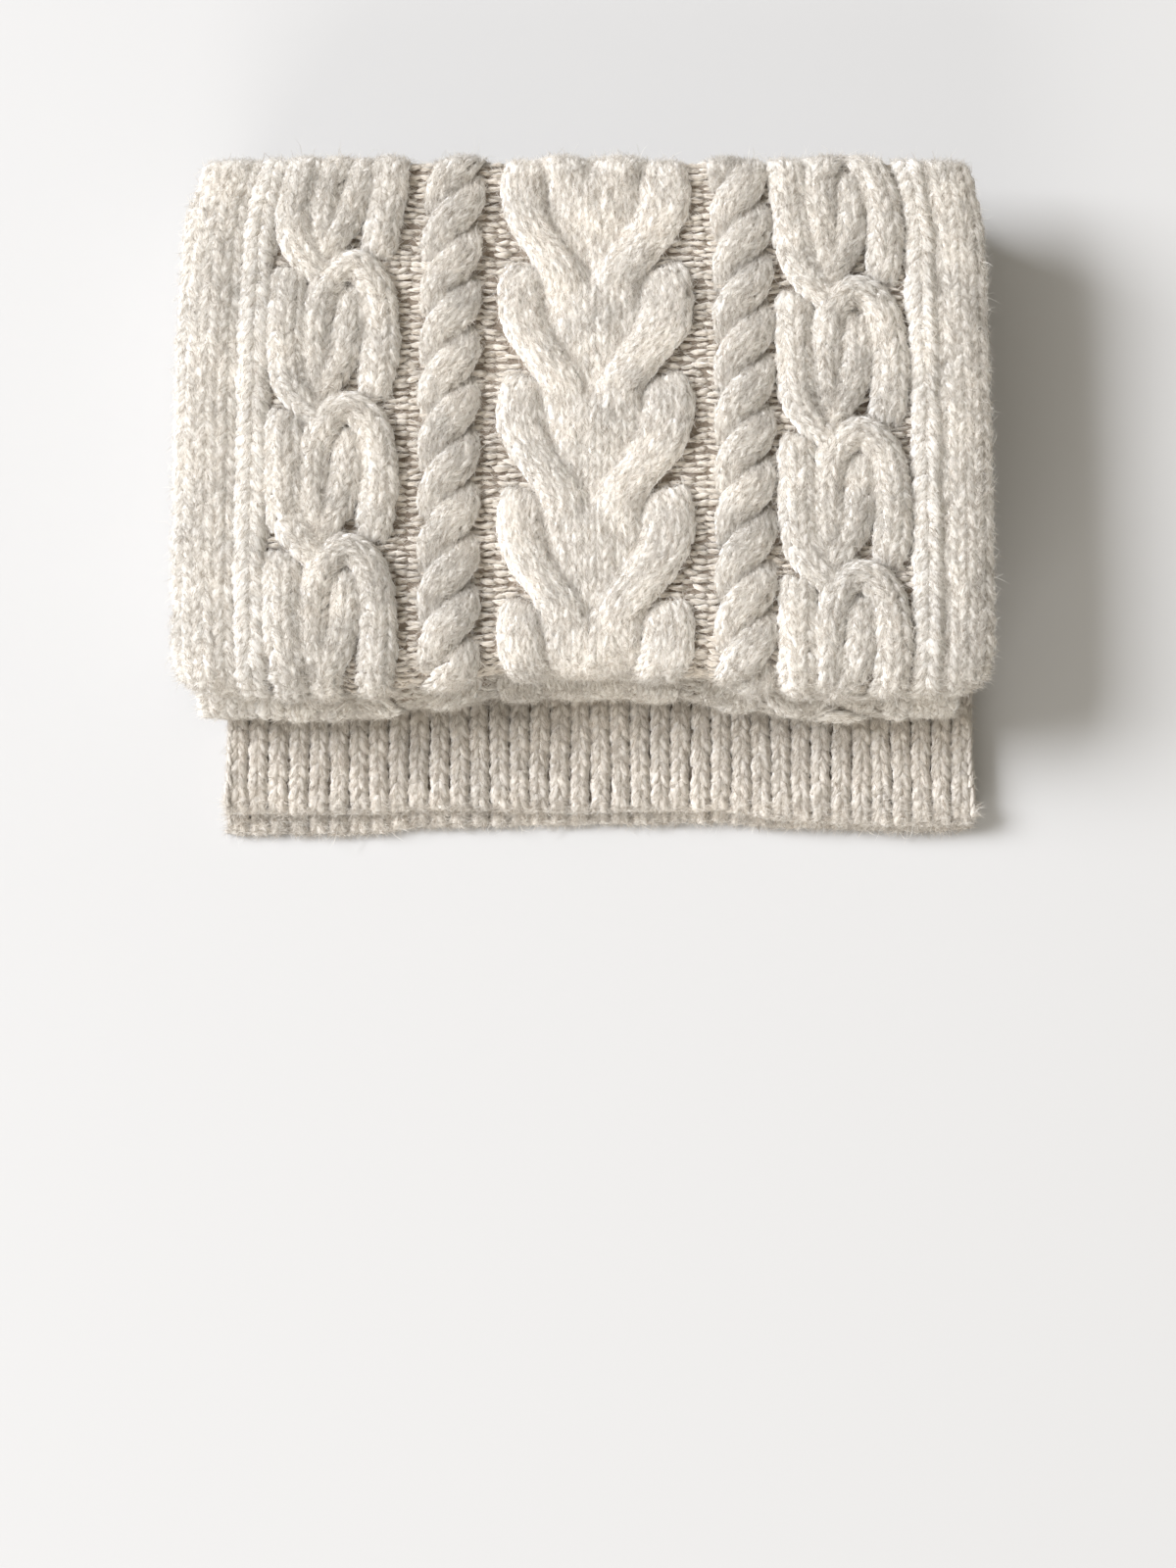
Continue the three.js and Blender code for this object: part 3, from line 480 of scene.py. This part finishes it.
def wool(name, lightness=(1.0, 1.0, 1.0), streaks=True, loose=False):
    """Heathered oatmeal wool: ivory, grey and tan fibres that run along the yarn."""
    material = bpy.data.materials.new(name)
    material.use_nodes = True
    tree = material.node_tree
    shader = tree.nodes["Principled BSDF"]
    shader.inputs["Roughness"].default_value = 0.95
    shader.inputs["Specular IOR Level"].default_value = 0.2
    shader.inputs["Diffuse Roughness"].default_value = 1.0
    shader.inputs["Sheen Weight"].default_value = 0.4
    shader.inputs["Sheen Roughness"].default_value = 0.6

    def noise(vector, scale, detail, roughness):
        made = tree.nodes.new("ShaderNodeTexNoise")
        made.inputs["Scale"].default_value = scale
        made.inputs["Detail"].default_value = detail
        made.inputs["Roughness"].default_value = roughness
        tree.links.new(vector, made.inputs["Vector"])
        return made.outputs["Fac"]

    def stretched(source, amounts):
        made = tree.nodes.new("ShaderNodeVectorMath")
        made.operation = "MULTIPLY"
        made.inputs[1].default_value = amounts
        tree.links.new(source, made.inputs[0])
        return made.outputs[0]

    def ramp(value, stops):
        made = tree.nodes.new("ShaderNodeValToRGB")
        steps = made.color_ramp.elements
        while len(steps) < len(stops):
            steps.new(0.5)
        for step, (position, color) in zip(steps, stops):
            step.position = position
            step.color = (*color, 1)
        tree.links.new(value, made.inputs["Fac"])
        return made.outputs["Color"]

    def mixed(kind, factor, first, second):
        made = tree.nodes.new("ShaderNodeMix")
        made.data_type = "RGBA"
        made.blend_type = kind
        if isinstance(factor, float):
            made.inputs["Factor"].default_value = factor
        else:
            tree.links.new(factor, made.inputs["Factor"])
        tree.links.new(first, made.inputs["A"])
        tree.links.new(second, made.inputs["B"])
        return made.outputs["Result"]

    place = tree.nodes.new("ShaderNodeTexCoord").outputs["Object"]
    if streaks:
        yarn = tree.nodes.new("ShaderNodeAttribute")
        yarn.attribute_name = "yarn"
        fibres = noise(stretched(yarn.outputs["Vector"], (0.3, 1.7, 1.7)), 1.0, 4.0, 0.7)
        flecks = noise(stretched(yarn.outputs["Vector"], (0.16, 0.7, 0.7)), 1.0, 2.0, 0.6)
    else:
        fibres = noise(stretched(place, (1300.0, 800.0, 1300.0)), 1.0, 4.0, 0.7)
        flecks = noise(stretched(place, (300.0, 200.0, 300.0)), 1.0, 2.0, 0.6)
    low, middle, high = (0.39, 0.48, 0.60) if loose else (0.36, 0.47, 0.62)
    warm = ramp(fibres, [
        (low, (0.42, 0.355, 0.285)), (middle, (0.81, 0.775, 0.72)), (high, (0.89, 0.873, 0.838))])
    cool = ramp(fibres, [
        (low, (0.47, 0.435, 0.39)), (middle, (0.795, 0.765, 0.72)), (high, (0.885, 0.87, 0.84))])
    tint = ramp(flecks, [(0.42, (1.0, 1.0, 1.0)), (0.60, (0.0, 0.0, 0.0))])
    blend = tree.nodes.new("ShaderNodeSeparateColor")
    tree.links.new(tint, blend.inputs["Color"])
    heather = mixed("MIX", blend.outputs["Red"], cool, warm)
    dim, full = (tuple(channel * share for channel in lightness) for share in (0.87, 1.03))
    patches = ramp(noise(place, 48.0, 3.0, 0.6), [(0.30, dim), (0.66, full)])
    color = mixed("MULTIPLY", 1.0, heather, patches)
    tree.links.new(color, shader.inputs["Base Color"])
    if loose:
        through = tree.nodes.new("ShaderNodeBsdfTranslucent")
        tree.links.new(color, through.inputs["Color"])
        both = tree.nodes.new("ShaderNodeMixShader")
        both.inputs["Fac"].default_value = 0.55
        tree.links.new(shader.outputs["BSDF"], both.inputs[1])
        tree.links.new(through.outputs["BSDF"], both.inputs[2])
        tree.links.new(both.outputs["Shader"], tree.nodes["Material Output"].inputs["Surface"])
        return material
    bump = tree.nodes.new("ShaderNodeBump")
    bump.inputs["Strength"].default_value = 0.35
    bump.inputs["Distance"].default_value = 0.0009
    tree.links.new(fibres, bump.inputs["Height"])
    tree.links.new(bump.outputs["Normal"], shader.inputs["Normal"])
    return material


# The top's middle gets a lighter copy of the cable wool and the sides a slightly darker one: painted light and shade
# that even out how the lamp falls on the side bands and the middle
cable_wool = wool("wool_cable", lightness=(0.975, 0.975, 0.975))
lit_middle_wool = wool("wool_middle_painted_light", lightness=(1.08, 1.085, 1.095))
# Darker copy of the same wool for the ribbed ends and their fibres: painted shade for the lower light on the hems
shaded_rib_wool = wool("wool_rib", lightness=(0.86, 0.84, 0.815))
# Purl bars darker and browner than the cable wool: painted shade for the gutters they lie deep in
shaded_purl_wool = wool("wool_purl_painted_shade", lightness=(0.90, 0.86, 0.81))
# Dark brown ground cloth: painted shade, where it shows in the gaps between stitches, between the ribs and at the
# hidden runs
shade_ground_wool = wool("wool_ground_painted_shade", lightness=(0.40, 0.34, 0.285), streaks=False)
layer_wool = wool("wool_layers", lightness=(0.95, 0.95, 0.95))
halo_wool = wool("wool_halo", lightness=(0.985, 0.985, 0.985), loose=True)
# Lighter copy of the loose-fibre wool: painted light on the top's middle, the front lips and the cast-on edges,
# which face away from the lamp
lit_middle_halo_wool = wool("wool_middle_halo_painted_light", lightness=(1.08, 1.085, 1.095), loose=True)
shaded_rib_halo_wool = wool("wool_rib_halo_painted_shade", lightness=(0.86, 0.84, 0.815), loose=True)


# Loose fibres

def unit(vectors):
    return vectors / (np.linalg.norm(vectors, axis=1, keepdims=True) + 1e-9)


def on_outline(roots):
    away = np.abs(roots[:, 0] - 2) > 133
    front = roots[:, 1] < np.where(roots[:, 2] > 12, -68, -106)
    return away | front | (roots[:, 1] > 108)


def on_lips(roots):
    return (roots[:, 4] < -0.5) & (roots[:, 2] > 10)


def on_cast_on(roots):
    return roots[:, 1] < -108.5


def on_purl(roots):
    return roots[:, 2] > 0


def picked_roots(yarns, count, where):
    roots = np.vstack([np.vstack(yarn.roots) for yarn in yarns])
    if where is not None:
        roots = roots[where(roots)]
    chosen = roots[random.integers(0, len(roots), count)]
    spine, up, run, side = (chosen[:, i:i + 3] for i in (0, 3, 6, 9))
    wide, tall = chosen[:, 12:13], chosen[:, 13:14]
    turn = random.uniform(-1.3, 1.3, (count, 1))
    out = side * np.sin(turn) + up * np.cos(turn)
    root = spine + side * np.sin(turn) * wide * 0.92 + up * np.cos(turn) * tall * 0.92
    return root + run * random.uniform(-1.2, 1.2, (count, 1)), out, run, side


def fibre_mesh(name, corners, faces, material):
    """Many thin fibres, each with the same corners and faces, and with its own tone."""
    points = np.stack(corners, axis=1)
    count, size = points.shape[:2]
    faces = (np.array(faces)[None] + np.arange(count)[:, None, None] * size).reshape(-1, 3)
    tone = np.repeat(random.uniform(0, 900, (count, 3)), size, axis=0)
    return mesh_object(name, lifted(points.reshape(-1, 3)), faces, material, tone)


def halo(name, yarns, count, material, where=None):
    """Long bent fibres that stand off the yarn."""
    root, out, run, side = picked_roots(yarns, count, where)
    lean = random.normal(0, 0.9, (count, 1)) * run + random.normal(0, 0.4, (count, 3))
    aim = unit(out * random.uniform(0.2, 1.0, (count, 1)) + lean)
    size = np.minimum(2.2 + random.exponential(1.6, (count, 1)), 9.0)
    bend = unit(aim + random.normal(0, 0.55, (count, 3)) - 0.35 * out)
    across = unit(np.cross(aim, random.normal(0, 1, (count, 3)))) * random.uniform(0.05, 0.09, (count, 1))
    middle = root + aim * size * 0.5
    corners = [root - across, root + across, middle + across, middle - across,
               middle + bend * size * 0.5]
    return fibre_mesh(name, corners, [(0, 1, 2), (0, 2, 3), (3, 2, 4)], material)


MATTED_FACING = np.array([-0.7, 0.0, 0.8])  # matted fibres are turned a little up and to the left


def nap(name, yarns, count, material, where=None):
    """Short fibres that lie along the yarn and blur its stitches, or across it where they mat."""
    root, out, run, side = picked_roots(yarns, count, where)
    if where is not None:
        run = unit(np.array([1.0, 0.0, 0.0]) + 0.3 * random.normal(0, 1, (count, 3)))
        side = unit(np.cross(run, out))
    forward = np.where(random.uniform(0, 1, (count, 1)) < 0.5, -1.0, 1.0)
    aim = unit(forward * run + (0.6 if where is None else 0.25) * random.normal(0, 1, (count, 1)) * side
               + random.uniform(-0.05, 0.34, (count, 1)) * out)
    root = root + random.uniform(0.0, 0.3, (count, 1)) * out
    facing = unit(out + 1.6 * np.cross(side, run) if where is None else out + MATTED_FACING)
    across = unit(np.cross(facing, aim)) * random.uniform(0.06, 0.125, (count, 1))
    tip = root + aim * random.uniform(1.5, 4.6, (count, 1))
    return fibre_mesh(name, [root + across, root - across, tip], [(0, 2, 1)], material)


# The top run

def yarn_on(cloth, strands, low, high, chosen, shift=0.0, purl=None):
    def ridge(across, along):
        return plateau(across, along, shift)

    yarn = Yarn()
    for rows, wales in strands:
        if chosen[0] <= rows[:, 0].mean() < chosen[1]:
            yarn.stitches(cloth, rows, wales, low, high, ridge=ridge if wales == 4 else None)
    for edge in (-TOP_HALF_WIDTH + 1.4, TOP_HALF_WIDTH - 1.4):
        if chosen[0] <= edge < chosen[1]:
            along = np.linspace(high, low, 60)
            one = np.ones_like(along)
            rows = np.stack([edge * one, along, 0.2 * one, 2.0 * one], 1)
            yarn.stitches(cloth, rows, 1, low, high, sink=2.2)
    (purl or yarn).purl(cloth, strands, low, high, chosen, shift)
    return yarn


LIP_REACH = 0.86 * math.pi * (FOLD_RADIUS + 1)
TOP_LOW = TOP_FOLD_FRONT + FOLD_RADIUS - LIP_REACH
TOP_HIGH = BACK_EDGE - CLOSING_RADIUS + 0.85 * math.pi * CLOSING_RADIUS
TOP_PARTS = {
    "top_knit_left": (-150, -36),
    "top_knit_middle": (-36, 42),
    "top_knit_right": (42, 150),
}
top_strands = placed_strands(TOP_LOW - 12, TOP_HIGH + 4)
top_base = knit_ground(
    "top_cloth", top_cloth, np.linspace(-TOP_HALF_WIDTH, TOP_HALF_WIDTH, 134),
    np.linspace(TOP_LOW - 16, TOP_HIGH + 3, 82), top_strands, shade_ground_wool)
top_purl_yarn = Yarn()
top_yarns = {name: yarn_on(top_cloth, top_strands, TOP_LOW, TOP_HIGH, span, purl=top_purl_yarn)
             for name, span in TOP_PARTS.items()}
top_knit = [yarn.build(name, lit_middle_wool if name == "top_knit_middle" else cable_wool)
            for name, yarn in top_yarns.items()]
top_purl = top_purl_yarn.build("top_purl", shaded_purl_wool)

# The second fold's lip
SECOND_SHIFT = 33.0
second_strands = placed_strands(-LIP_REACH - 8, 6, SECOND_SHIFT)
second_base = knit_ground(
    "second_cloth", second_cloth, np.linspace(-TOP_HALF_WIDTH, TOP_HALF_WIDTH, 120),
    np.linspace(-math.pi * (FOLD_RADIUS + 1) - 12, 12, 24), second_strands, shade_ground_wool, SECOND_SHIFT)
second_yarn = yarn_on(second_cloth, second_strands, -LIP_REACH, -4, (-150, 150), SECOND_SHIFT)
second_knit = second_yarn.build("second_knit", cable_wool)

# The hidden runs: a layered body, the back folds' cables and the selvedges at both sides
HIDDEN_BACK = 103.5
LAYER = 5.0
RUNS = [  # bottom, left, right
    (0.0, -129.0, 138.0), (10.0, -134.0, 132.0), (20.0, -134.5, 131.0), (30.0, -139.0, 138.5),
    (40.0, -139.5, 139.0),
]


def back_cloth(centre_z, left, right):
    def cloth(across, along, height):
        turn = np.clip(-along / (FOLD_RADIUS + 0.5), 0, np.pi)
        place = (left + right) / 2 + across * (right - left) / 2 / TOP_HALF_WIDTH
        lift = height * smooth(0, 0.25 * np.pi, turn) * (1 - smooth(0.75 * np.pi, np.pi, turn))
        reach = FOLD_RADIUS - 0.4 + 0.55 * lift
        y = HIDDEN_BACK - corner(across) + reach * np.sin(turn)
        return np.stack([place, y, centre_z + (FOLD_RADIUS - 0.4 + 0.2 * lift) * np.cos(turn)], axis=-1)
    return cloth


def side_cloth(side, edge, z):
    """Along runs from back to front, across runs up, and height stands out to the side."""
    def cloth(across, along, height):
        wave = 0.5 * np.sin(along / 19 + z) + 0.35 * np.sin(along / 8.3 + 2.1 * z)
        out = edge + side * (height + wave - 1.2)
        return np.stack([out, along + 0 * across, z + across + 0.25 * np.sin(along / 23 + z)], axis=-1)
    return cloth


def body_front(z):
    """How far the hidden runs reach to the front: into both front folds."""
    top = math.sqrt(max(0.0, 6.3 ** 2 - (z - TOP_FOLD_Z) ** 2))
    second = math.sqrt(max(0.0, 6.3 ** 2 - (z - SECOND_FOLD_Z) ** 2))
    return -64.0 - top - (second + 4.5 if second > 0 else 0.0)


def layered_body():
    levels = np.linspace(0.4, 46.3, 70)
    turns = np.linspace(0, 2 * np.pi, 120, endpoint=False)
    rings = []
    for z in levels:
        run = RUNS[min(int(z // 10), 4)]
        groove = 1.9 * (1 - abs(math.sin(math.pi * z / LAYER)) ** 0.5)
        left, right = run[1] + 1.6 + groove, run[2] - 1.6 - groove
        centre = 10.0 if z < 20 else 30.0
        inside = max(0.0, 1 - ((z - centre) / FOLD_RADIUS) ** 2)
        back = HIDDEN_BACK - 1.5 + FOLD_RADIUS * math.sqrt(inside) * 0.85 - (0.6 if z > 40 else 0)
        front = body_front(z)
        x0, y0 = (left + right) / 2, (front + back) / 2
        cosine, sine = np.cos(turns), np.sin(turns)
        bulge = (np.abs(cosine) ** 12 + np.abs(sine) ** 12) ** (-1 / 12)
        x = x0 + (right - left) / 2 * cosine * bulge
        y = y0 + (back - front) / 2 * sine * bulge
        y = y + bow(x) * np.clip(-sine * bulge, 0, 1)
        rings.append(np.stack([x, y, z + 0 * x], axis=-1))
    stack = np.array(rings)
    count, around = stack.shape[:2]
    ids = np.arange(count * around).reshape(count, around)
    after = np.roll(ids, -1, axis=1)
    walls = np.stack([ids[:-1], after[:-1], after[1:], ids[1:]], -1).reshape(-1, 4)
    half = np.arange(around // 2 - 1)
    lid = np.stack([half, half + 1, around - 2 - half, around - 1 - half], -1)
    lids = np.vstack([lid[:, ::-1], lid + (count - 1) * around])
    return mesh_object("layers_body", stack.reshape(-1, 3), np.vstack([walls, lids]), shade_ground_wool)


def selvedges():
    yarn = Yarn()
    for bottom, left, right in RUNS:
        for part in range(2):
            z = bottom + LAYER * (part + 0.5)
            if z > 46:
                continue
            for side, edge in ((-1, left), (1, right)):
                back = HIDDEN_BACK - 5.5 + 8.0 * math.sin(math.acos(min(1, abs((z % 20) - 10) / 10)))
                along = np.linspace(back, body_front(z) + 1, 60)
                one = np.ones_like(along)
                rows = np.stack([0 * one, along, 2.0 * one, 2.5 * one], 1)
                yarn.stitches(side_cloth(side, edge, z), rows, 1, -400, 400, sink=0.9, row=7.0)
    return yarn


layers_body = layered_body()
layers_yarn = selvedges()
layers_knit = layers_yarn.build("selvedge_knit", layer_wool)
back_yarn = Yarn()
for bottom, shift, (left, right) in ((10.0, 12.0, (-131.5, 135.0)), (30.0, 27.0, (-136.5, 135.0))):
    back_strands = placed_strands(-LIP_REACH - 8, 6, shift)
    part = yarn_on(back_cloth(bottom, left, right), back_strands, -LIP_REACH, -2, (-150, 150), shift)
    back_yarn.points += part.points
    back_yarn.local += part.local
    back_yarn.roots += part.roots
back_knit = back_yarn.build("back_knit", layer_wool)


# The ribbed ends
def ribbed_end(name, edge_column, underside, shown):
    cloth = hem_cloth(edge_column, underside)
    pitch = (HEM_RIGHT - HEM_LEFT) / RIB_COUNT
    centres = HEM_LEFT + (np.arange(RIB_COUNT) + 0.5) * pitch
    edges = np.interp(centres, CAST_ON_EDGES[:, 0], CAST_ON_EDGES[:, edge_column])
    yarn = Yarn()
    for centre, edge in zip(centres, edges):
        along = np.linspace(edge + shown, edge - 0.8, 12)
        one = np.ones_like(along)
        wander = 0.25 * np.sin(along / 9 + centre)
        rows = np.stack([centre + wander, along, (RIB_RISE + 0.4) * one, 2.75 * one], 1)
        yarn.stitches(cloth, rows, 1, -400, 400, sink=1.2)
    share = LEG_SHARES[None, :]
    for low, height, back in ((0.2, -0.3, 1.6), (0.3, -1.7, 0.8)):
        middle = np.arange(HEM_LEFT + 1.6, HEM_RIGHT - 1.0, 3.6)[:, None]
        middle = middle + random.normal(0, 0.7, middle.shape)
        edge = np.interp(middle, CAST_ON_EDGES[:, 0], CAST_ON_EDGES[:, edge_column])
        along = edge + low + back * (share - 0.5) * random.uniform(0.2, 1.8, middle.shape)
        lift = height + 0.7 * (1 - (2 * share - 1) ** 2) + random.normal(0, 0.35, middle.shape)
        thick = 1.05 * LEG_TAPER[None, :] * (1 + random.normal(0, 0.1, middle.shape))
        yarn.tubes(cloth, middle + (share - 0.5) * 4.6, along, lift, thick, thick)
    for side, side_edge in ((-1, HEM_LEFT), (1, HEM_RIGHT)):
        front = np.interp(side_edge, CAST_ON_EDGES[:, 0], CAST_ON_EDGES[:, edge_column])
        along = np.linspace(-60, front + 1.5, 20)
        one = np.ones_like(along)
        rows = np.stack([0 * one, along, 1.8 * one, 2.2 * one], 1)
        yarn.stitches(side_cloth(side, side_edge, underside + 2.3), rows, 1, -400, 400, sink=0.9)
    across = np.linspace(HEM_LEFT + 0.8, HEM_RIGHT - 0.8, RIB_COUNT * 6 + 1)
    deep = np.array([0.9, 1.4, 2.6, 5.0, 14.0, 40.0, 76.0])[:, None]
    edge = np.interp(across, CAST_ON_EDGES[:, 0], CAST_ON_EDGES[:, edge_column])
    ribs = np.abs(np.sin(np.pi * (across - HEM_LEFT) / pitch)) ** 1.5
    u = np.broadcast_to(across, (len(deep), len(across)))
    v = np.minimum(edge[None] + deep, HEM_BACK)
    outer = cloth(u, v, np.broadcast_to(1.5 * ribs - 0.6, u.shape))
    inner = outer.copy()
    inner[..., 2] = underside + 0.1
    return closed_grid(f"{name}_cloth", outer, inner, shade_ground_wool), yarn, yarn.build(f"{name}_knit", shaded_rib_wool)


upper_base, upper_yarn, upper_knit = ribbed_end("hem_upper", 1, UPPER_HEM_Z, 50)
lower_base, lower_yarn, lower_knit = ribbed_end("hem_lower", 2, 0.0, 14)

all_top = list(top_yarns.values())
halo_top = halo("halo_top", all_top, 8000, halo_wool)
halo_edges = halo("halo_edges", all_top, 8500, halo_wool, on_outline)
halo_front = halo("halo_front", [second_yarn], 2500, halo_wool)
halo_hem = halo("halo_hem", [upper_yarn, lower_yarn], 2000, shaded_rib_halo_wool)
halo_cast_on = halo("halo_cast_on", [upper_yarn, lower_yarn], 4500, lit_middle_halo_wool, on_cast_on)
halo_layers = halo("halo_layers", [layers_yarn, back_yarn], 2500, halo_wool)
nap_left = nap("nap_left", all_top[:1], 112000, halo_wool)
nap_middle = nap("nap_middle", all_top[1:2], 96000, lit_middle_halo_wool)
nap_right = nap("nap_right", all_top[2:], 108000, halo_wool)
nap_lip = nap("nap_lip", all_top, 12000, lit_middle_halo_wool, on_lips)
nap_purl = nap("nap_purl", [top_purl_yarn], 17000, halo_wool, on_purl)
nap_second = nap("nap_second", [second_yarn], 20000, halo_wool)
mat_second = nap("mat_second", [second_yarn], 6000, lit_middle_halo_wool, on_lips)
nap_hem = nap("nap_hem", [upper_yarn, lower_yarn], 46000, shaded_rib_halo_wool)
mat_cast_on = nap("mat_cast_on", [upper_yarn, lower_yarn], 12000, lit_middle_halo_wool, on_cast_on)
nap_layers = nap("nap_layers", [layers_yarn, back_yarn], 22000, halo_wool)

TOP_SET = [*top_knit, top_purl, halo_top, halo_edges, nap_left, nap_middle, nap_right, nap_lip,
           nap_purl]
FRONT_SET = [second_knit, halo_front, nap_second, mat_second]
HEM_SET = [upper_knit, nap_hem, halo_hem, halo_cast_on, mat_cast_on]
LAYER_SET = [layers_body, layers_knit, back_knit, halo_layers, nap_layers]
for piece in [top_base, *TOP_SET, second_base, *FRONT_SET, upper_base, *HEM_SET, lower_base,
              lower_knit, *LAYER_SET]:
    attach(piece, "root")
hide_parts("top_panel")
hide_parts("second_fold")
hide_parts("rib_hem_upper")
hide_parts("rib_hem_lower")
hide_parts("hidden_layers")

# Floor, light and camera
floor_material = bpy.data.materials.new("floor")
floor_material.use_nodes = True
floor_shader = floor_material.node_tree.nodes["Principled BSDF"]
floor_shader.inputs["Base Color"].default_value = (0.53, 0.53, 0.53, 1)
floor_shader.inputs["Roughness"].default_value = 0.95
floor_shader.inputs["Specular IOR Level"].default_value = 0.1
FLOOR = 4000
floor_points = np.array([(-FLOOR, -FLOOR, -0.3), (FLOOR, -FLOOR, -0.3), (FLOOR, FLOOR, -0.3), (-FLOOR, FLOOR, -0.3)])
floor = mesh_object("floor", floor_points, np.array([(0, 1, 2, 3)]), floor_material)

scene = bpy.context.scene
scene.view_settings.view_transform = "Standard"
world = bpy.data.worlds.new("studio")
scene.world = world
world.use_nodes = True
world.node_tree.nodes["Background"].inputs["Color"].default_value = (1.0, 0.93, 0.80, 1)
world.node_tree.nodes["Background"].inputs["Strength"].default_value = 0.44


def area_light(name, place, size, power, color):
    data = bpy.data.lights.new(name, "AREA")
    data.shape = "SQUARE"
    data.size = size
    data.energy = power
    data.color = color
    light = bpy.data.objects.new(name, data)
    scene.collection.objects.link(light)
    light.location = Vector(place)
    light.rotation_mode = "QUATERNION"
    light.rotation_quaternion = (-Vector(place)).to_track_quat("-Z", "Y")
    return light


area_light("window", (-5.8, 1.6, 4.6), 3.6, 1085.0, (0.945, 0.958, 1.0))
area_light("bounce", (-1.5, -4.5, 1.6), 3.0, 165.0, (1.0, 0.97, 0.93))

CAMERA_DISTANCE = 1.4
CAMERA_TILT = math.radians(9.0)
AIM = Vector((0.0017, -0.10085, 0.0))
PIXEL = 0.000354  # metres at the floor for one of the photograph's pixels
IMAGE_HEIGHT = 1600
data = bpy.data.cameras.new("camera")
camera = bpy.data.objects.new("camera", data)
scene.collection.objects.link(camera)
scene.camera = camera
data.sensor_fit = "AUTO"
data.sensor_width = 36.0
data.lens = data.sensor_width * CAMERA_DISTANCE / PIXEL / IMAGE_HEIGHT
back = Vector((0.0, -math.sin(CAMERA_TILT), math.cos(CAMERA_TILT)))
camera.location = AIM + back * CAMERA_DISTANCE
camera.rotation_mode = "QUATERNION"
camera.rotation_quaternion = (-back).to_track_quat("-Z", "Y")
data.clip_start, data.clip_end = 0.05, 20.0
